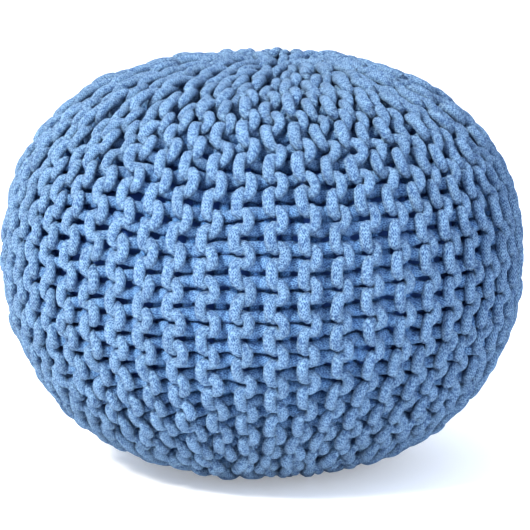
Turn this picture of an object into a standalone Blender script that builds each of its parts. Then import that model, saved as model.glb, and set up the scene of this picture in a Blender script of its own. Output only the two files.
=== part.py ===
"""Knitted pouf: one filled round body with garter ridges running from its top gather to its flat base.

The body starts as a sphere whose points are moved out to a crowned, slightly squashed outline. Ridges
run down it like meridians, in equal wedges of four. Some ridges of each wedge stop short of the top and
of the base, as short rows of knitting do, and their neighbours close up in the room they leave.

Metres, +Z up. The origin is on the floor, under the middle of the body.
"""

import math

import bmesh
import bpy
from mathutils import Matrix

# Driving sizes, in metres, measured over the crests of the ridges
RADIUS = 0.250  # from the axis to the widest line
CROWN_RISE = 0.198  # from the widest line up to the crown
BASE_DROP = 0.197  # from the widest line down to where the full curve would end
FOOT_TRIM = 0.005  # cut off that curve by the flat foot
WAIST_HEIGHT = BASE_DROP - FOOT_TRIM

# Fullness of the outline: 2 is an ellipse, and more is squarer
CROWN_FULLNESS = 2.76
BASE_FULLNESS = 2.30
CROWN_LEAN = 0.008  # slope of the crown, down towards +X

# Ridges
WEDGES = 13
RIDGE_DEPTH = 0.008  # crest to furrow
RIDGE_ENDS = (
    # distance from the axis where a ridge of the wedge stops, as a share of RADIUS
    {"crown": 0.00, "base": 0.00},
    {"crown": 0.51, "base": 0.62},
    {"crown": 0.21, "base": 0.30},
    {"crown": 0.35, "base": 0.47},
)
END_VARIATION = 0.050  # how unevenly the ridges stop, as a share of RADIUS
CLOSING_WIDTH = 0.14  # over which a ridge thins to nothing, as a share of RADIUS
RIDGE_TURN = -0.0012  # of a whole turn, from +X to the first ridge's edge
RIDGE_COUNT = WEDGES * len(RIDGE_ENDS)

# The gather at the top, where the drawn yarn pulls the ridges together
GATHER_SHIFT = (0.016, 0.045)  # off the axis, towards +X and +Y
GATHER_REACH = 0.70  # share of RADIUS within which the shift builds up
DIMPLE_DEPTH = 0.005
DIMPLE_RADIUS = 0.034
SMOOTH_CENTRE = 0.012  # the ridges flatten out this near the gather

# The foot, flat where the body rests
FOOT_BLEND = 0.024  # over which the ridges rise out of the flat

# Slow unevenness of the filling, as shares of the radius
LUMPS = (
    {"height": 0.013, "round": 0, "down": 6.0, "turn_deg": 200.0},
    {"height": 0.005, "round": 1, "down": 3.0, "turn_deg": -65.0},
    {"height": 0.010, "round": 2, "down": 1.0, "turn_deg": 85.0},
    {"height": 0.008, "round": 3, "down": 2.0, "turn_deg": 155.0},
    {"height": 0.003, "round": 5, "down": 2.0, "turn_deg": 250.0},
)

# Mesh: four points across each ridge, and rings from crown to foot
POINTS_PER_RIDGE = 4
RINGS = 28

# Look of the yarn
YARN_COLOUR = (0.150, 0.290, 0.540, 1.0)
YARN_ROUGHNESS = 0.92


def smooth_step(low, high, value):
    """0 at or below low, 1 at or above high, and an even S between."""
    share = min(1.0, max(0.0, (value - low) / (high - low)))
    return share * share * (3.0 - 2.0 * share)


def outline_reach(polar, fullness, end_height):
    """Distance from the body's centre to its outline, at an angle from the vertical."""
    across = (math.sin(polar) / RADIUS) ** fullness
    upright = (abs(math.cos(polar)) / end_height) ** fullness
    return (across + upright) ** (-1.0 / fullness)


def ridge_fullness(wedge, ridge, half_width, end):
    """1 where a ridge has its whole width, falling to 0 past the place where it stops."""
    stop = RIDGE_ENDS[ridge][end]
    if stop == 0.0:
        return 1.0
    stop += END_VARIATION * math.sin(2.4 * wedge + 1.7 * ridge + 0.6 * len(end))
    low = stop - 0.4 * CLOSING_WIDTH
    return smooth_step(low, low + CLOSING_WIDTH, half_width / RADIUS)


def ridge_wave(turn, half_width, end):
    """0 in a furrow and 1 on a ridge's crest, at a turn from 0 to 1 round the body."""
    wedge_place = (turn * WEDGES) % WEDGES
    wedge = int(wedge_place)
    fullness = [ridge_fullness(wedge, ridge, half_width, end) for ridge in range(len(RIDGE_ENDS))]
    place = (wedge_place - wedge) * sum(fullness)
    for full in fullness:
        if place <= full and full > 0.0:
            # Flat crests and flat furrows, with slopes between
            return full * min(1.0, max(0.0, 0.5 - math.sqrt(0.5) * math.cos(2.0 * math.pi * place / full)))
        place -= full
    return 0.0


def lumpiness(turn, polar):
    """Slow swelling and sinking of the filling, fading out at the crown and the foot."""
    total = 0.0
    for lump in LUMPS:
        phase = 2.0 * math.pi * lump["round"] * turn + lump["down"] * polar + math.radians(lump["turn_deg"])
        total += lump["height"] * math.cos(phase)
    return total * math.sin(polar) ** 2


def body_point(direction):
    """Where a point of the unit sphere goes on the pouf's surface."""
    polar = math.acos(max(-1.0, min(1.0, direction.z)))
    turn = math.atan2(direction.y, direction.x) / (2.0 * math.pi) % 1.0
    is_crown = polar < math.pi / 2.0
    end = "crown" if is_crown else "base"
    if is_crown:
        reach = outline_reach(polar, CROWN_FULLNESS, CROWN_RISE)
    else:
        reach = outline_reach(polar, BASE_FULLNESS, BASE_DROP)
    half_width = reach * math.sin(polar)

    # Half a sample's turn puts two points on each crest and two in each furrow
    half_sample = 0.5 / (RIDGE_COUNT * POINTS_PER_RIDGE)
    ridge_place = (turn - RIDGE_TURN + half_sample) % 1.0
    groove = RIDGE_DEPTH * (1.0 - ridge_wave(ridge_place, half_width, end))
    if is_crown:
        groove *= smooth_step(SMOOTH_CENTRE, 3.0 * SMOOTH_CENTRE, half_width)
    else:
        foot_radius = RADIUS * (1.0 - (WAIST_HEIGHT / BASE_DROP) ** BASE_FULLNESS) ** (1.0 / BASE_FULLNESS)
        groove *= smooth_step(foot_radius, foot_radius + FOOT_BLEND, half_width)

    reach = reach * (1.0 + lumpiness(turn, polar)) - groove
    point = direction * reach
    point.z += WAIST_HEIGHT
    if is_crown:
        point.z -= DIMPLE_DEPTH * math.exp(-((half_width / DIMPLE_RADIUS) ** 2))
        point.z -= CROWN_LEAN * point.x * (point.z - WAIST_HEIGHT) / CROWN_RISE
        pull = 1.0 - smooth_step(0.0, GATHER_REACH, half_width / RADIUS)
        point.x += GATHER_SHIFT[0] * pull
        point.y += GATHER_SHIFT[1] * pull
    point.z = max(0.0, point.z)
    return point


def centre_on_axis(mesh):
    """Moves the points sideways, so that the body's box is centred over the origin."""
    for axis in (0, 1):
        places = [vert.co[axis] for vert in mesh.verts]
        middle = 0.5 * (min(places) + max(places))
        for vert in mesh.verts:
            vert.co[axis] -= middle


def make_material(name, colour, roughness):
    """A plain Principled material."""
    material = bpy.data.materials.new(name)
    material.use_nodes = True
    shader = material.node_tree.nodes["Principled BSDF"]
    shader.inputs["Base Color"].default_value = colour
    shader.inputs["Roughness"].default_value = roughness
    shader.inputs["Metallic"].default_value = 0.0
    material.diffuse_color = colour
    return material


def make_knitted_body(collection):
    """The whole pouf: one closed solid, ridged all round."""
    mesh = bmesh.new()
    ridge_spin = Matrix.Rotation(2.0 * math.pi * RIDGE_TURN, 4, "Z")
    around = RIDGE_COUNT * POINTS_PER_RIDGE
    bmesh.ops.create_uvsphere(mesh, u_segments=around, v_segments=RINGS, radius=1.0, matrix=ridge_spin)
    for vert in mesh.verts:
        vert.co = body_point(vert.co.normalized())
    centre_on_axis(mesh)
    bmesh.ops.triangulate(mesh, faces=mesh.faces[:])

    data = bpy.data.meshes.new("knitted_body")
    mesh.to_mesh(data)
    mesh.free()
    data.shade_smooth()
    data.materials.append(make_material("cotton_yarn", YARN_COLOUR, YARN_ROUGHNESS))
    body = bpy.data.objects.new("knitted_body", data)
    collection.objects.link(body)
    return body


def main():
    for old in list(bpy.data.objects):
        bpy.data.objects.remove(old, do_unlink=True)
    collection = bpy.data.collections.new("knitted_pouf")
    bpy.context.scene.collection.children.link(collection)
    make_knitted_body(collection)


main()
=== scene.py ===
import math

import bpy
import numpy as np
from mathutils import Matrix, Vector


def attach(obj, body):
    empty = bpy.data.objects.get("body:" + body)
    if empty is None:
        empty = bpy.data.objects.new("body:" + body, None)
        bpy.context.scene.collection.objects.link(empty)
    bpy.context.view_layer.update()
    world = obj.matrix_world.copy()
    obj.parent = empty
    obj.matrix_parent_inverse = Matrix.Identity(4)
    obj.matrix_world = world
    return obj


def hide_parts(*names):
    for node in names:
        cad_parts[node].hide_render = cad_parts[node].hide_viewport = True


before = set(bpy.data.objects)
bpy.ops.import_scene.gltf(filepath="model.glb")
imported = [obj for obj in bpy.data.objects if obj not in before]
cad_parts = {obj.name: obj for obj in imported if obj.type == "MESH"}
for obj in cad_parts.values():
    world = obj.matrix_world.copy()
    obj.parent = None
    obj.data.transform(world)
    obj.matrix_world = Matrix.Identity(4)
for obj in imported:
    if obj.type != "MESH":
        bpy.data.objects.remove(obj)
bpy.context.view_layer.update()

# A knitted pouf in chunky cotton yarn. The knit is modelled yarn: every garter ridge is one closed strand,
# swept along the loops of its two rows. The loops of neighbouring rows reach over and under each other, and
# cut into each other where they cross: they are made for the look, and not as yarn that could be unpicked.
#
# Metres, +Z up. The profile is the body's outline from the crown's gather down to the middle of the base.
# A place on the knit is given by three numbers: how far along the profile it lies, its turn round the body
# (0 to 1), and its height out of the middle of the knit.
# A row's loops have their heads on the side of the next row and their feet on the side of the row before.
# A bar is the bend of the yarn at a head or a foot, and the legs join the bars. Even rows show their heads
# at the front and odd rows their feet, so each pair of rows makes one ridge.

NODE = "knitted_body"

# ---------------------------------------------------------------- the body's outline, as in the solid
RADIUS = 0.250  # from the axis to the widest line
CROWN_RISE = 0.198  # from the widest line up to the crown
BASE_DROP = 0.197  # from the widest line down to where the full curve would end
FOOT_TRIM = 0.005  # cut off that curve by the flat foot
WAIST_HEIGHT = BASE_DROP - FOOT_TRIM
CROWN_FULLNESS = 2.76  # 2 is an ellipse, and more is squarer
BASE_FULLNESS = 2.30
CROWN_LEAN = 0.008  # slope of the crown, down towards +X
GATHER_SHIFT = (0.016, 0.045)  # from the axis to the crown's gather, towards +X and +Y
GATHER_REACH = 0.70  # share of RADIUS within which the shift builds up
DIMPLE_DEPTH = 0.005
DIMPLE_RADIUS = 0.034
LUMPS = (
    # slow unevenness of the filling, as shares of the radius
    {"height": 0.013, "round": 0, "down": 6.0, "turn_deg": 200.0},
    {"height": 0.005, "round": 1, "down": 3.0, "turn_deg": -65.0},
    {"height": 0.010, "round": 2, "down": 1.0, "turn_deg": 85.0},
    {"height": 0.008, "round": 3, "down": 2.0, "turn_deg": 155.0},
    {"height": 0.003, "round": 5, "down": 2.0, "turn_deg": 250.0},
)

# ---------------------------------------------------------------- ridges and short rows, as in the solid
WEDGES = 13
RIDGE_ENDS = (
    # distance from the axis where a ridge of the wedge stops, as a share of RADIUS
    {"crown": 0.00, "base": 0.00},
    {"crown": 0.51, "base": 0.62},
    {"crown": 0.21, "base": 0.30},
    {"crown": 0.35, "base": 0.47},
)
END_VARIATION = 0.050  # how unevenly the ridges stop, as a share of RADIUS
END_PHASES = {"wedge": 2.4, "ridge": 1.7, "letters": 0.6}  # radians that make one end differ from the next
CLOSING_WIDTH = 0.14  # over which a ridge thins to nothing, as a share of RADIUS
CLOSING_PAST = 0.4  # share of that width that lies past the place where the ridge stops
RIDGE_TURN = -0.0012  # of a whole turn, from +X to the first ridge's edge
WEDGE_RIDGES = len(RIDGE_ENDS)
RIDGE_COUNT = WEDGES * WEDGE_RIDGES
ROW_COUNT = 2 * RIDGE_COUNT
ROW_MIDDLES = (0.25, 0.75)  # where a ridge's two rows run, as shares of its width

# ---------------------------------------------------------------- yarn
YARN = 0.0104  # thickness of the cord
FLATNESS = {"across": 1.07, "out": 0.95}  # width and height of its section in the knit, in thicknesses
FRONT_HEAD_SIZE = 0.94  # thickness of the bars at the front, at a loop's head, as a share of the cord's
FRONT_FOOT_SIZE = 1.00  # and at a loop's foot
BACK_SIZE = 1.00  # and of the bars at the back
LEG_SIZES = (1.08, 0.99)  # and of the legs, in even rows and in odd ones
BAR_EDGE = (0.10, 0.80)  # shares of the way out from leg to bar, between which the thickness changes over
GATHERED_SIZE = 0.98  # thickness where the knit is gathered, as a share of that elsewhere

# ---------------------------------------------------------------- stitches
STITCHES = 21  # from gather to gather, along the longest rows
CROWN_STRETCH = 0.06  # stitches are this much longer near the crown, and shorter near the base
END_STRETCH = 0.12  # and this much longer near both than at the waist
LOOP_DEPTH = 0.75 * YARN  # from the middle of the knit out to the front bars, and in to the back ones
UNEVEN_ROOM = 0.0012  # for bars that stand out a little
HALF_DEPTH = LOOP_DEPTH + 0.5 * FLATNESS["out"] * YARN  # half of the thickness of the knit
LOOP_REACH = 0.90  # how far a loop reaches across, as a share of the way to the next row
LEG_SHIFT = -0.018  # draws a loop's legs towards its head, in stitches
LEG_SPREAD = 0.028  # bows the legs apart half way, in stitches
LOOP_SWELL = 0.1375  # bulges its head and its foot along the row, in stitches
BAR_FLATNESS = {"across": 0.06, "out": 0.04}  # how straight a bar is, and how long it stays at the front
LIVE_SHARE = 0.22  # a ridge stops where less than this share of its width is left
GATHER_RADIUS = (0.013, 0.028)  # where the longest rows stop, in every other wedge
TURN_REACH = 0.22  # how far the yarn swings out where it turns back, in stitches
TURN_STEPS = 5  # points round such a turn

# Near the crown and the foot the ridges have less room than at the waist, and the knit is gathered
GATHERED_ROOM = 0.8  # share of the room at the waist, at which it counts as wholly gathered
GATHERED_DEPTH = 1.48  # depth of a loop there, as a share of LOOP_DEPTH
GATHERED_REACH = 1.02  # reach of a loop there, in place of LOOP_REACH
GATHERED_LIFT = 0.18  # how far every other ridge stands out there, and the rest in, in thicknesses of yarn
GATHERED_UNEVEN = 1.4  # unevenness there, as a share of that elsewhere
FOOT_GATHERING = 0.4  # share of all this, apart from the thickness, that is seen near the foot

# How unevenly the knit is worked, as standard deviations
UNEVEN = {
    "along": 0.034,  # of a stitch
    "out": 0.085,  # of the yarn's thickness
    "reach": 0.045,  # of a loop's reach
    "lean": 0.06,  # of a loop's reach
    "size": 0.03,  # of the yarn's thickness
}
MOST_UNEVEN = 2.2  # the largest difference, in standard deviations
SEED = 7
DRIFTS = (
    # slow waves in the ridges, sideways in turns and lengthwise in stitches
    {"sideways": 0.0010, "lengthwise": 0.04, "round": 4, "down": 3, "turn_deg": 20.0},
    {"sideways": 0.0008, "lengthwise": 0.03, "round": 7, "down": 5, "turn_deg": 140.0},
    {"sideways": 0.0006, "lengthwise": 0.02, "round": 11, "down": 2, "turn_deg": 260.0},
    {"sideways": 0.0005, "lengthwise": 0.02, "round": 17, "down": 7, "turn_deg": 75.0},
)

# ---------------------------------------------------------------- the inner face, behind the loops
LINING_DEPTH = LOOP_DEPTH + 0.3 * YARN  # in from the middle of the knit
LINING_RINGS = 72
LINING_SIDES = 120

# ---------------------------------------------------------------- meshes
STEPS = 18  # points round a stitch
SIDES = 10  # points round the yarn
KNIT_PIECES = 13
PROFILE_STEPS = 1400  # places in the table of the profile
EDGE_WINDOW = 61  # of those places, over which the edge of the foot is rounded off
BOX_SAMPLES = (181, 240)  # places along and round, to find the middle of the outline's box

# ---------------------------------------------------------------- look of the yarn
YARN_LIGHT = (0.234, 0.380, 0.556, 1.0)
YARN_DARK = (0.009, 0.052, 0.180, 1.0)
LIGHTNESS = {"least": -0.42, "mottle": 3.0, "gaps": -3.8}  # share of the light colour, and what moves it: random mottle, and painted shade in the gaps between the cord's V stitches
DEEP_PAINTED_SHADE = (0.50, 0.90, 1.26, 1.0)  # painted shade over the yarn's colour, deep in the knit: darker, and bluer where the loops shade each other
NO_PAINTED_SHADE = (1.0, 1.0, 1.0, 1.0)
UNSHADED_SHARE = {"middle": 0.46, "outward": 0.8}  # share without the painted shade half way in, and more of that share further out
VALUES = {"least": 0.80, "patches": 0.40}  # brightness, which varies in broad patches
YARN_SURFACE = {
    "Roughness": 0.95,
    "Specular IOR Level": 0.2,
    "Sheen Weight": 0.12,
    "Sheen Roughness": 0.5,
    "Sheen Tint": (0.75, 0.88, 1.0, 1.0),
}

# The cord's own fine knitting: lines of small V stitches along it
WALES = 12  # lines round the cord
COURSE = 0.0028  # length of a V stitch
V_LEAN = 2.0  # how far the arms of a V lean along the cord, in stitches for each line across
STRIPE_POWER = 0.7  # below 1, it makes a V fuller along the cord
LIMB_POWER = 0.5  # and this its arms fuller across
WOBBLE_SHIFT = {"wales": 0.6, "courses": 1.6}  # how far the wobble moves the V stitches
NOISES = {
    "wobble": {"scale": 160.0, "detail": 2.0},
    "fuzz": {"scale": 1100.0, "detail": 3.0},
    "mottle": {"scale": 330.0, "detail": 2.0},
    "patches": {"scale": 45.0, "detail": 3.0},
    "weave": {"scale": 900.0, "detail": 2.0},
}
RELIEF = {"braid": 0.8, "fuzz": 0.6, "mottle": 0.8}
YARN_BUMP = {"distance": 0.0012, "strength": 1.0}

# ---------------------------------------------------------------- look of the inner face
CLOTH_DARK = (0.045, 0.120, 0.350, 1.0)
CLOTH_LIGHT = (0.090, 0.240, 0.700, 1.0)
CLOTH_BUMP = {"distance": 0.0004, "strength": 0.6}
CLOTH_SURFACE = {"Roughness": 1.0}

# ---------------------------------------------------------------- stage, light and camera
FLOOR_SIZE = 14.0
FLOOR_PLACE = (0.0, 3.0, 0.0)
FLOOR_SURFACE = {
    "Base Color": (0.85, 0.85, 0.85, 1.0),
    "Emission Color": (1.0, 1.0, 1.0, 1.0),
    "Emission Strength": 0.30,  # keeps the shadow on it faint
    "Roughness": 0.9,
}
WORLD_COLOUR = (0.78, 0.86, 1.0, 1.0)
WORLD_STRENGTH = 1.26
LIGHTS = (
    {"name": "key", "place": (-1.3, -1.5, 1.9), "size": 0.65, "watts": 132.0, "colour": (1.0, 0.93, 0.80)},
    {"name": "fill", "place": (1.6, -2.2, 0.9), "size": 1.6, "watts": 26.0, "colour": (0.95, 0.97, 1.0)},
)
VIEW_GAMMA = 0.82
VIEW_EXPOSURE = 0.20
CAMERA_TILT_DEG = 11.0
CAMERA_FAR = 11.0 * RADIUS
PICTURE = 530.0  # pixels on a side
RADIUS_PIXELS = 261.5  # the body's half width at the camera's distance
CAMERA_SHIFT = (2.0, -1.0)  # pixels
SENSOR = 36.0


def smooth_step(low, high, value):
    """0 at or below low, 1 at or above high, and an even S between."""
    share = np.clip((value - low) / (high - low), 0.0, 1.0)
    return share * share * (3.0 - 2.0 * share)


def smoothed(values):
    """The values averaged over a short window, to round off the edge of the foot."""
    window = np.ones(EDGE_WINDOW) / EDGE_WINDOW
    return np.convolve(np.pad(values, EDGE_WINDOW // 2, mode="edge"), window, mode="valid")


# ---------------------------------------------------------------- the profile
def ridge_fullness(profile, wedge, ridge):
    """A ridge's share of its whole width along the profile: 1, falling to 0 past where it stops."""
    share = np.ones(PROFILE_STEPS)
    for end, is_here in (("crown", profile["is_crown"]), ("base", ~profile["is_crown"])):
        stop = RIDGE_ENDS[ridge][end]
        if stop == 0.0:
            continue
        phase = END_PHASES["wedge"] * wedge + END_PHASES["ridge"] * ridge + END_PHASES["letters"] * len(end)
        stop += END_VARIATION * math.sin(phase)
        low = stop - CLOSING_PAST * CLOSING_WIDTH
        full = smooth_step(low, low + CLOSING_WIDTH, profile["half_width"] / RADIUS)
        share = np.where(is_here, full, share)
    return share


def add_outline(profile):
    """The body's outline from crown to base, and the way out of it at each place."""
    polar = np.linspace(0.0, math.pi, PROFILE_STEPS)
    is_crown = polar < math.pi / 2.0
    fullness = np.where(is_crown, CROWN_FULLNESS, BASE_FULLNESS)
    rise = np.where(is_crown, CROWN_RISE, BASE_DROP)
    across = (np.sin(polar) / RADIUS) ** fullness
    upright = (np.abs(np.cos(polar)) / rise) ** fullness
    reach = (across + upright) ** (-1.0 / fullness)
    half_width = reach * np.sin(polar)
    height = WAIST_HEIGHT + reach * np.cos(polar)
    height -= np.where(is_crown, DIMPLE_DEPTH * np.exp(-((half_width / DIMPLE_RADIUS) ** 2)), 0.0)
    height = np.maximum(height, 0.0)

    out_across = smoothed(-np.gradient(height))
    out_up = smoothed(np.gradient(half_width))
    length = np.hypot(out_across, out_up)
    profile.update(polar=polar, is_crown=is_crown, reach=reach)
    profile.update(half_width=half_width, outline_height=height)
    profile.update(out_across=out_across / length, out_up=out_up / length)


def add_gathering(profile):
    """How little room the ridges have: 0 where they have all of it, and 1 where the knit is gathered."""
    fullness = sum(
        ridge_fullness(profile, wedge, ridge) for wedge in range(WEDGES) for ridge in range(WEDGE_RIDGES))
    room = profile["half_width"] / RADIUS * RIDGE_COUNT / fullness
    gathering = smoothed(np.clip((1.0 - room) / (1.0 - GATHERED_ROOM), 0.0, 1.0))
    profile["size"] = 1.0 - (1.0 - GATHERED_SIZE) * gathering
    profile["gathering"] = np.where(profile["is_crown"], 1.0, FOOT_GATHERING) * gathering


def add_middle(profile):
    """The middle of the knit, inside the outline, with the distance and the count of stitches along it."""
    gathering = profile["gathering"]
    depth = HALF_DEPTH + UNEVEN_ROOM
    depth = depth + gathering * ((GATHERED_DEPTH - 1.0) * LOOP_DEPTH + GATHERED_LIFT * YARN)
    across = np.maximum(profile["half_width"] - depth * profile["out_across"], 0.0)
    height = profile["outline_height"] - depth * profile["out_up"]
    steps = np.hypot(np.diff(across), np.diff(height))
    along = np.concatenate([[0.0], np.cumsum(steps)])

    # Stitches are longest near the crown, and shorter at the waist, where the knit is pulled wide
    share = along / along[-1]
    stretch = 1.0 + CROWN_STRETCH * np.cos(math.pi * share) + END_STRETCH * np.cos(2.0 * math.pi * share)
    density = 1.0 / stretch
    counted = np.concatenate([[0.0], np.cumsum(0.5 * (density[1:] + density[:-1]) * steps)])
    profile.update(across=across, height=height, along=along, stitch=counted / counted[-1] * STITCHES)


def make_profile():
    """All that is known of each place along the profile, as tables."""
    profile = {}
    add_outline(profile)
    add_gathering(profile)
    add_middle(profile)
    return profile


PROFILE = make_profile()
LENGTH = PROFILE["along"][-1]


def read(name, along):
    """A value of the profile at a distance along it."""
    return np.interp(along, PROFILE["along"], PROFILE[name])


def along_of(stitch):
    """The distance along the profile at a count of stitches from the crown."""
    return np.interp(stitch, PROFILE["stitch"], PROFILE["along"])


def gathered(along, most):
    """1 over most of the knit, going over to the given value where it is gathered."""
    return 1.0 + (most - 1.0) * read("gathering", along)


# ---------------------------------------------------------------- rows
def make_rows():
    """Each row's turn round the body, and its ridge's fullness, along the profile."""
    turns = np.zeros((ROW_COUNT, PROFILE_STEPS))
    shares = np.zeros((ROW_COUNT, PROFILE_STEPS))
    for wedge in range(WEDGES):
        fullness = [ridge_fullness(PROFILE, wedge, ridge) for ridge in range(WEDGE_RIDGES)]
        total = sum(fullness)
        start = np.zeros(PROFILE_STEPS)
        for ridge, full in enumerate(fullness):
            row = 2 * (wedge * WEDGE_RIDGES + ridge)
            for half, middle in enumerate(ROW_MIDDLES):
                turns[row + half] = (wedge + (start + middle * full) / total) / WEDGES + RIDGE_TURN
                shares[row + half] = full
            start = start + full
    return turns, shares


ROW_TURNS, ROW_SHARES = make_rows()
HEAD_ALONG = along_of(np.arange(STITCHES) + 0.5)
FOOT_ALONG = along_of(np.arange(STITCHES + 1.0))


def turn_of(row, along):
    """The turn round the body where a row runs."""
    return np.interp(along, PROFILE["along"], ROW_TURNS[row])


def make_live():
    """Whether each row has each stitch."""
    live = np.zeros((ROW_COUNT, STITCHES), bool)
    for row in range(ROW_COUNT):
        share = np.interp(HEAD_ALONG, PROFILE["along"], ROW_SHARES[row])
        wedge = row // (2 * WEDGE_RIDGES)
        is_clear = read("across", HEAD_ALONG) >= GATHER_RADIUS[wedge % 2]
        live[row] = is_clear & (share >= LIVE_SHARE)
    return live


LIVE = make_live()


def way_to_next(row, step, along, is_there):
    """Turns from a row to the next one, ahead or behind, that is there."""
    for far in range(1, ROW_COUNT):
        other = (row + step * far) % ROW_COUNT
        if is_there[other]:
            return (turn_of(other, along) - turn_of(row, along)) * step % 1.0
    return 0.0


def loop_reaches(row):
    """How far the row's heads reach ahead and its feet behind, in turns."""
    ahead = np.zeros(STITCHES)
    behind = np.zeros(STITCHES + 1)
    head_reach = LOOP_REACH * gathered(HEAD_ALONG, GATHERED_REACH / LOOP_REACH)
    foot_reach = LOOP_REACH * gathered(FOOT_ALONG, GATHERED_REACH / LOOP_REACH)
    for stitch in np.flatnonzero(LIVE[row]):
        ahead[stitch] = head_reach[stitch] * way_to_next(row, 1, HEAD_ALONG[stitch], LIVE[:, stitch])
        if stitch > 0 and LIVE[row, stitch - 1]:
            both = LIVE[:, stitch - 1] & LIVE[:, stitch]
            behind[stitch] = foot_reach[stitch] * way_to_next(row, -1, FOOT_ALONG[stitch], both)
    return ahead, behind


# ---------------------------------------------------------------- places on the knit
def lumpiness(turn, polar):
    """Slow swelling and sinking of the filling, fading out at the crown and the foot."""
    total = 0.0
    for lump in LUMPS:
        phase = 2.0 * math.pi * lump["round"] * turn + lump["down"] * polar + math.radians(lump["turn_deg"])
        total = total + lump["height"] * np.cos(phase)
    return total * np.sin(polar) ** 2


def place(along, turn, out):
    """Points in space for places on the knit, and the way out of the knit at each."""
    angle = 2.0 * math.pi * turn
    cosine, sine = np.cos(angle), np.sin(angle)
    out_across = read("out_across", along)
    normals = np.stack([out_across * cosine, out_across * sine, read("out_up", along)], axis=-1)
    across = read("across", along)
    points = np.stack([across * cosine, across * sine, read("height", along)], axis=-1)
    points += out[..., None] * normals

    polar = read("polar", along)
    swell = lumpiness(turn, polar) * read("reach", along)
    points[..., 0] += swell * np.sin(polar) * cosine
    points[..., 1] += swell * np.sin(polar) * sine
    points[..., 2] += swell * np.cos(polar)

    above_waist = np.clip((points[..., 2] - WAIST_HEIGHT) / CROWN_RISE, 0.0, 1.0)
    points[..., 2] -= CROWN_LEAN * above_waist * points[..., 0]
    pull = 1.0 - smooth_step(0.0, GATHER_REACH, read("half_width", along) / RADIUS)
    pull = np.where(polar < math.pi / 2.0, pull, 0.0)
    points[..., 0] += GATHER_SHIFT[0] * pull
    points[..., 1] += GATHER_SHIFT[1] * pull
    return points, normals


def body_middle():
    """The middle of the outline's box, seen from above. The solid's box is centred over the origin."""
    along_count, turn_count = BOX_SAMPLES
    along, turn = np.meshgrid(np.linspace(0.0, LENGTH, along_count), np.arange(turn_count) / turn_count)
    points, _ = place(along.ravel(), turn.ravel(), np.full(along.size, HALF_DEPTH + UNEVEN_ROOM))
    return 0.5 * (points.min(axis=0) + points.max(axis=0)) * (1.0, 1.0, 0.0)


BODY_MIDDLE = body_middle()


def drift(turn, along):
    """Slow waves in the ridges: how far a place has moved round, in turns, and along, in stitches."""
    sideways, lengthwise = 0.0, 0.0
    for wave in DRIFTS:
        phase = 2.0 * math.pi * (wave["round"] * turn + wave["down"] * along / LENGTH)
        phase = phase + math.radians(wave["turn_deg"])
        sideways = sideways + wave["sideways"] * np.cos(phase)
        lengthwise = lengthwise + wave["lengthwise"] * np.sin(phase)
    fade = np.sin(math.pi * np.clip(along / LENGTH, 0.0, 1.0))
    return sideways * fade, lengthwise * fade


# ---------------------------------------------------------------- the yarn's way
def draw_unevenness():
    """Small random differences for every head and foot of every row."""
    random = np.random.default_rng(SEED)
    drawn = {}
    for bar, count in (("head", STITCHES), ("foot", STITCHES + 1)):
        for kind, spread in UNEVEN.items():
            draws = random.normal(0.0, spread, (ROW_COUNT, count))
            drawn[bar, kind] = np.clip(draws, -MOST_UNEVEN * spread, MOST_UNEVEN * spread)
    return drawn


DRAWN = draw_unevenness()


def row_path(row):
    """A row's yarn from its first stitch to its last: stitch count, turn, height out and size."""
    is_even = row % 2 == 0
    side = 1.0 if is_even else -1.0  # the heads' side: the front in even rows, and the back in odd ones
    live = np.flatnonzero(LIVE[row])
    ahead, behind = loop_reaches(row)

    # The phase is 0 at a head, and half a turn from it at a foot
    count = (live[-1] - live[0]) * STEPS + STEPS // 2 + 1
    phase = 2.0 * math.pi * (np.arange(count) / STEPS - 0.25)
    number = np.round(phase / (2.0 * math.pi)).astype(int)
    phase = phase - 2.0 * math.pi * number
    head = number + live[0]
    foot = np.where(phase > 0.0, head + 1, head)
    at_head = 0.5 + 0.5 * np.cos(phase)
    even_stitch = head + 0.5 + phase / (2.0 * math.pi)
    unevenness = gathered(along_of(even_stitch), GATHERED_UNEVEN)

    def uneven(kind):
        """One kind of difference at each point, going over from head to foot and back."""
        drawn = at_head * DRAWN["head", kind][row, head] + (1.0 - at_head) * DRAWN["foot", kind][row, foot]
        return drawn * unevenness

    stitch = even_stitch + LEG_SHIFT * np.sin(phase)
    stitch += LOOP_SWELL * np.sin(2.0 * phase) - LEG_SPREAD * np.sin(3.0 * phase) + uneven("along")
    along = along_of(stitch)
    bulge = {
        way: (np.cos(phase) - flat * np.cos(3.0 * phase)) / (1.0 - flat)
        for way, flat in BAR_FLATNESS.items()
    }
    across = bulge["across"] * (1.0 + uneven("reach")) + uneven("lean") * np.sin(2.0 * phase)
    turn = turn_of(row, along) + across * np.where(across > 0.0, ahead[head], behind[foot])

    depth = LOOP_DEPTH * gathered(along, GATHERED_DEPTH)
    lift_side = 1.0 if row // 2 % 2 == 0 else -1.0
    lift = GATHERED_LIFT * read("gathering", along) * lift_side
    out = side * depth * bulge["out"] + YARN * (uneven("out") + lift)

    front_size = FRONT_HEAD_SIZE if is_even else FRONT_FOOT_SIZE
    bar_size = np.where(side * bulge["out"] > 0.0, front_size, BACK_SIZE)
    bar_share = smooth_step(*BAR_EDGE, np.abs(bulge["out"]))
    leg_size = LEG_SIZES[row % 2]
    size = (leg_size + (bar_size - leg_size) * bar_share) * (1.0 + uneven("size"))
    return np.stack([stitch, turn, out, size])


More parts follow.
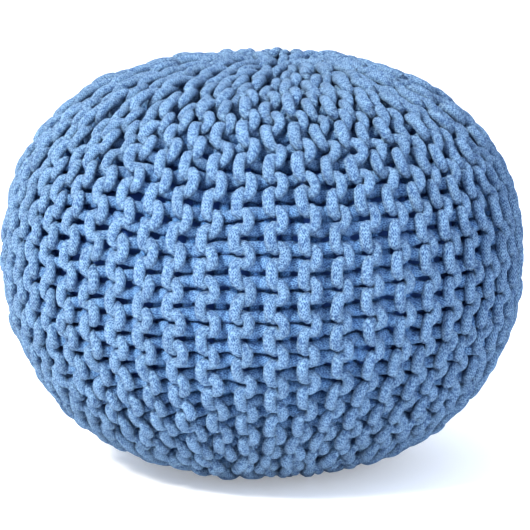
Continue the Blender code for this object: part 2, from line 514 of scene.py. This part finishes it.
def strand_path(ridge):
    """The closed way of a ridge's yarn: down one row, round the turn, and back up the other."""
    rows = [row_path(2 * ridge), row_path(2 * ridge + 1)]
    arc = math.pi * (np.arange(TURN_STEPS) + 1.0) / (TURN_STEPS + 1.0)
    share = 0.5 - 0.5 * np.cos(arc)
    parts = []
    for this, other, way in ((rows[0], rows[1], 1), (rows[1], rows[0], -1)):
        ordered = this[:, ::way]
        start = ordered[:, -1:]
        end = other[:, -1:] if way > 0 else other[:, :1]
        turn = start * (1.0 - share) + end * share
        turn[0] += way * TURN_REACH * np.sin(arc)
        parts += [ordered, turn]
    return np.concatenate(parts, axis=1)


def strand_points(ridge):
    """Points, outward directions, half thicknesses and heights out along a ridge's strand."""
    stitch, turn, out, size = strand_path(ridge)
    sideways, lengthwise = drift(turn, along_of(stitch))
    along = along_of(stitch + lengthwise)
    points, normals = place(along, turn + sideways, out)
    return points, normals, 0.5 * YARN * size * read("size", along), out


# ---------------------------------------------------------------- meshes
def sweep(points, normals, radii, out):
    """A closed tube round the points: its corners, their heights, its faces, and their map in metres."""
    ahead = np.roll(points, -1, axis=0) - np.roll(points, 1, axis=0)
    ahead /= np.linalg.norm(ahead, axis=1, keepdims=True)
    up = normals - np.sum(normals * ahead, axis=1, keepdims=True) * ahead
    up /= np.linalg.norm(up, axis=1, keepdims=True)
    side = np.cross(ahead, up)
    angle = 2.0 * math.pi * np.arange(SIDES) / SIDES
    across = FLATNESS["across"] * np.cos(angle)[None, :, None] * side[:, None, :]
    outward = FLATNESS["out"] * np.sin(angle)[None, :, None] * up[:, None, :]
    corners = (points[:, None, :] + radii[:, None, None] * (across + outward)).reshape(-1, 3)
    corners[:, 2] = np.maximum(corners[:, 2], 0.0)
    heights = (out[:, None] + radii[:, None] * FLATNESS["out"] * np.sin(angle)).ravel()

    here = np.arange(len(points))[:, None] * SIDES
    near = here + np.arange(SIDES)
    far = here + (np.arange(SIDES) + 1) % SIDES
    faces = np.stack([near, far, np.roll(far, -1, axis=0), np.roll(near, -1, axis=0)], axis=-1)

    lengths = np.linalg.norm(np.roll(points, -1, axis=0) - points, axis=1)
    begin = np.concatenate([[0.0], np.cumsum(lengths)[:-1]])[:, None] + np.zeros(SIDES)
    end = begin + lengths[:, None]
    low = np.zeros((len(points), 1)) + math.pi * YARN * np.arange(SIDES) / SIDES
    high = low + math.pi * YARN / SIDES
    places = np.stack([
        np.stack([begin, low], axis=-1),
        np.stack([begin, high], axis=-1),
        np.stack([end, high], axis=-1),
        np.stack([end, low], axis=-1),
    ], axis=2)
    return corners, faces.reshape(-1, 4), places.reshape(-1, 2), heights


def add_mesh(name, corners, faces, places=None, heights=None):
    """A smooth mesh object from arrays of corners and four-sided faces."""
    mesh = bpy.data.meshes.new(name)
    mesh.vertices.add(len(corners))
    mesh.vertices.foreach_set("co", (corners - BODY_MIDDLE).astype(np.float32).ravel())
    mesh.loops.add(faces.size)
    mesh.loops.foreach_set("vertex_index", faces.astype(np.int32).ravel())
    mesh.polygons.add(len(faces))
    mesh.polygons.foreach_set("loop_start", np.arange(0, faces.size, 4, dtype=np.int32))
    if places is not None:
        layer = mesh.uv_layers.new(name="YarnMap")
        layer.uv.foreach_set("vector", places.astype(np.float32).ravel())
    if heights is not None:
        # How far out of the knit each corner lies, which the yarn's painted shade reads
        layer = mesh.attributes.new("height_in_knit", "FLOAT", "POINT")
        layer.data.foreach_set("value", (heights / HALF_DEPTH).astype(np.float32))
    mesh.update(calc_edges=True)
    mesh.shade_smooth()
    piece = bpy.data.objects.new(name, mesh)
    bpy.context.scene.collection.objects.link(piece)
    return piece


def make_knit():
    """All the strands, joined into a few pieces that each take a sector of the body."""
    pieces = []
    for number, ridges in enumerate(np.array_split(np.arange(RIDGE_COUNT), KNIT_PIECES)):
        corner_sets, face_sets, place_sets, height_sets = [], [], [], []
        corner_count = 0
        for ridge in ridges:
            corners, faces, places, heights = sweep(*strand_points(ridge))
            corner_sets.append(corners)
            face_sets.append(faces + corner_count)
            place_sets.append(places)
            height_sets.append(heights)
            corner_count += len(corners)
        made = [np.concatenate(sets) for sets in (corner_sets, face_sets, place_sets, height_sets)]
        pieces.append(add_mesh(f"knit_{number + 1}", *made))
    return pieces


def make_inner_face():
    """The dark cloth face that shows through the gaps between the stitches."""
    along, turn = np.meshgrid(
        np.linspace(0.0, LENGTH, LINING_RINGS), np.arange(LINING_SIDES) / LINING_SIDES, indexing="ij")
    points, _ = place(along.ravel(), turn.ravel(), np.full(along.size, -LINING_DEPTH))
    index = np.arange(along.size).reshape(along.shape)
    beside = np.roll(index, -1, axis=1)
    faces = np.stack([index[:-1], index[1:], beside[1:], beside[:-1]], axis=-1).reshape(-1, 4)
    return add_mesh("inner_face", points, faces)


# ---------------------------------------------------------------- materials
class Nodes:
    """A material with short calls for building its node tree."""

    def __init__(self, name, surface):
        """Starts a material, with values for the shader's own sockets."""
        self.material = bpy.data.materials.new(name)
        self.material.use_nodes = True
        self.tree = self.material.node_tree
        self.shader = self.tree.nodes["Principled BSDF"]
        for socket, value in surface.items():
            self.shader.inputs[socket].default_value = value

    def feed(self, value, socket):
        """Links an output to a socket, or sets a plain value on it."""
        if isinstance(value, bpy.types.NodeSocket):
            self.tree.links.new(value, socket)
        else:
            socket.default_value = value

    def object_space(self):
        """Places in the object's own space, where the noises live."""
        return self.tree.nodes.new("ShaderNodeTexCoord").outputs["Object"]

    def math(self, operation, a, b=0.0, c=0.0):
        """The result of a sum on outputs and plain numbers."""
        node = self.tree.nodes.new("ShaderNodeMath")
        node.operation = operation
        for value, socket in zip((a, b, c), node.inputs):
            self.feed(value, socket)
        return node.outputs[0]

    def mix(self, share, a, b, blend="MIX"):
        """Colour a, going over to b, or blended with it, by a share."""
        node = self.tree.nodes.new("ShaderNodeMix")
        node.data_type = "RGBA"
        node.blend_type = blend
        self.feed(share, node.inputs["Factor"])
        self.feed(a, node.inputs["A"])
        self.feed(b, node.inputs["B"])
        return node.outputs["Result"]

    def noise(self, space, scale, detail):
        """Cloudy noise from 0 to 1."""
        node = self.tree.nodes.new("ShaderNodeTexNoise")
        self.feed(space, node.inputs["Vector"])
        node.inputs["Scale"].default_value = scale
        node.inputs["Detail"].default_value = detail
        return node.outputs["Fac"]

    def bump(self, height, distance, strength):
        """Raises the surface by a height, with the shader's normal."""
        node = self.tree.nodes.new("ShaderNodeBump")
        self.feed(height, node.inputs["Height"])
        node.inputs["Distance"].default_value = distance
        node.inputs["Strength"].default_value = strength
        self.feed(node.outputs["Normal"], self.shader.inputs["Normal"])


def fine_knitting(n, wobble):
    """How full a V stitch is along the cord, and how full its arms are across, both from 0 to 1."""
    yarn_map = n.tree.nodes.new("ShaderNodeUVMap")
    yarn_map.uv_map = "YarnMap"
    split = n.tree.nodes.new("ShaderNodeSeparateXYZ")
    n.feed(yarn_map.outputs["UV"], split.inputs[0])

    wales = n.math("MULTIPLY", split.outputs["Y"], WALES / (math.pi * YARN))
    wales = n.math("ADD", wales, n.math("MULTIPLY", wobble, WOBBLE_SHIFT["wales"]))
    from_middle = n.math("ABSOLUTE", n.math("SUBTRACT", n.math("FRACT", wales), 0.5))
    courses = n.math("MULTIPLY", split.outputs["X"], 1.0 / COURSE)
    courses = n.math("ADD", courses, n.math("MULTIPLY", wobble, WOBBLE_SHIFT["courses"]))
    zigzag = n.math("ADD", courses, n.math("MULTIPLY", from_middle, V_LEAN))
    stripe = n.math("SINE", n.math("MULTIPLY", zigzag, 2.0 * math.pi))
    stripe = n.math("MULTIPLY_ADD", stripe, 0.5, 0.5)
    limb = n.math("SINE", n.math("MULTIPLY", from_middle, 2.0 * math.pi))
    return stripe, limb


def make_yarn_material():
    """Cotton cord: a fine knitted tube of small V stitches, matt and a little fuzzy. Its colour carries
    painted shade, in the gaps between the V stitches and deeper in the knit.
    """
    n = Nodes("cotton_yarn", YARN_SURFACE)
    space = n.object_space()
    stripe, limb = fine_knitting(n, n.noise(space, **NOISES["wobble"]))
    braid = n.math("MULTIPLY", n.math("POWER", stripe, STRIPE_POWER), n.math("POWER", limb, LIMB_POWER))
    fuzz = n.noise(space, **NOISES["fuzz"])
    mottle = n.noise(space, **NOISES["mottle"])
    relief = n.math("MULTIPLY", braid, RELIEF["braid"])
    relief = n.math("ADD", relief, n.math("MULTIPLY", fuzz, RELIEF["fuzz"]))
    relief = n.math("ADD", relief, n.math("MULTIPLY", mottle, RELIEF["mottle"]))
    n.bump(relief, **YARN_BUMP)

    # Painted shade: the gaps between the cord's small V stitches are painted darker
    gaps = n.math("MULTIPLY", n.math("SUBTRACT", 1.0, stripe), n.math("SUBTRACT", 1.0, limb))
    share = n.math("MULTIPLY_ADD", mottle, LIGHTNESS["mottle"], LIGHTNESS["least"])
    share = n.math("MULTIPLY_ADD", gaps, LIGHTNESS["gaps"], share)
    colour = n.mix(share, YARN_DARK, YARN_LIGHT)

    # Painted shade: the yarn is darker and bluer the deeper it lies in the knit, where the loops shade each
    # other
    height = n.tree.nodes.new("ShaderNodeAttribute")
    height.attribute_name = "height_in_knit"
    unshaded = n.math("MULTIPLY_ADD", height.outputs["Fac"], UNSHADED_SHARE["outward"], UNSHADED_SHARE["middle"])
    unshaded = n.math("MINIMUM", n.math("MAXIMUM", unshaded, 0.0), 1.0)
    painted_shade = n.mix(unshaded, DEEP_PAINTED_SHADE, NO_PAINTED_SHADE)
    patches = n.noise(space, **NOISES["patches"])
    shaded = n.tree.nodes.new("ShaderNodeHueSaturation")
    n.feed(n.mix(1.0, colour, painted_shade, "MULTIPLY"), shaded.inputs["Color"])
    n.feed(n.math("MULTIPLY_ADD", patches, VALUES["patches"], VALUES["least"]), shaded.inputs["Value"])
    n.feed(shaded.outputs["Color"], n.shader.inputs["Base Color"])
    return n.material


def make_inner_material():
    """The shaded inner face: a plain, close, dark cloth."""
    n = Nodes("inner_cloth", CLOTH_SURFACE)
    weave = n.noise(n.object_space(), **NOISES["weave"])
    n.feed(n.mix(weave, CLOTH_DARK, CLOTH_LIGHT), n.shader.inputs["Base Color"])
    n.bump(weave, **CLOTH_BUMP)
    return n.material


# ---------------------------------------------------------------- stage, light and camera
def make_stage():
    """A pale floor that glows a little, a painted light that keeps the shadow on it faint, under an even,
    slightly blue sky.
    """
    bpy.ops.mesh.primitive_plane_add(size=FLOOR_SIZE, location=FLOOR_PLACE)
    floor = bpy.context.object
    floor.name = "floor"
    floor.data.materials.append(Nodes("pale_floor", FLOOR_SURFACE).material)

    world = bpy.data.worlds.new("studio")
    bpy.context.scene.world = world
    world.use_nodes = True
    background = world.node_tree.nodes["Background"]
    background.inputs["Color"].default_value = WORLD_COLOUR
    background.inputs["Strength"].default_value = WORLD_STRENGTH


def make_lights():
    """Soft lamps that point at the middle of the body."""
    for row in LIGHTS:
        data = bpy.data.lights.new(row["name"], "AREA")
        data.size = row["size"]
        data.energy = row["watts"]
        data.color = row["colour"]
        light = bpy.data.objects.new(row["name"], data)
        light.location = row["place"]
        aim = Vector((0.0, 0.0, WAIST_HEIGHT)) - light.location
        light.rotation_euler = aim.to_track_quat("-Z", "Y").to_euler()
        bpy.context.scene.collection.objects.link(light)


def make_camera():
    """A camera at the photograph's viewing angle, with the body as large in the frame as there."""
    data = bpy.data.cameras.new("camera")
    camera = bpy.data.objects.new("camera", data)
    bpy.context.scene.collection.objects.link(camera)
    tilt = math.radians(CAMERA_TILT_DEG)
    target = Vector((0.0, 0.0, WAIST_HEIGHT))
    camera.location = target + CAMERA_FAR * Vector((0.0, -math.cos(tilt), math.sin(tilt)))
    camera.rotation_euler = (target - camera.location).to_track_quat("-Z", "Y").to_euler()
    data.sensor_width = SENSOR
    data.lens = SENSOR * RADIUS_PIXELS / PICTURE * CAMERA_FAR / RADIUS
    data.shift_x = CAMERA_SHIFT[0] / PICTURE
    data.shift_y = CAMERA_SHIFT[1] / PICTURE
    bpy.context.scene.camera = camera


def main():
    """Makes the knit and its inner face, and sets them under lights and camera."""
    knit = make_knit()
    yarn = make_yarn_material()
    for piece in knit:
        piece.data.materials.append(yarn)
    inner_face = make_inner_face()
    inner_face.data.materials.append(make_inner_material())
    for piece in [*knit, inner_face]:
        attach(piece, "root")
        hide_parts(NODE)
    make_stage()
    make_lights()
    make_camera()
    view = bpy.context.scene.view_settings
    view.view_transform = "Standard"
    view.gamma = VIEW_GAMMA
    view.exposure = VIEW_EXPOSURE


main()
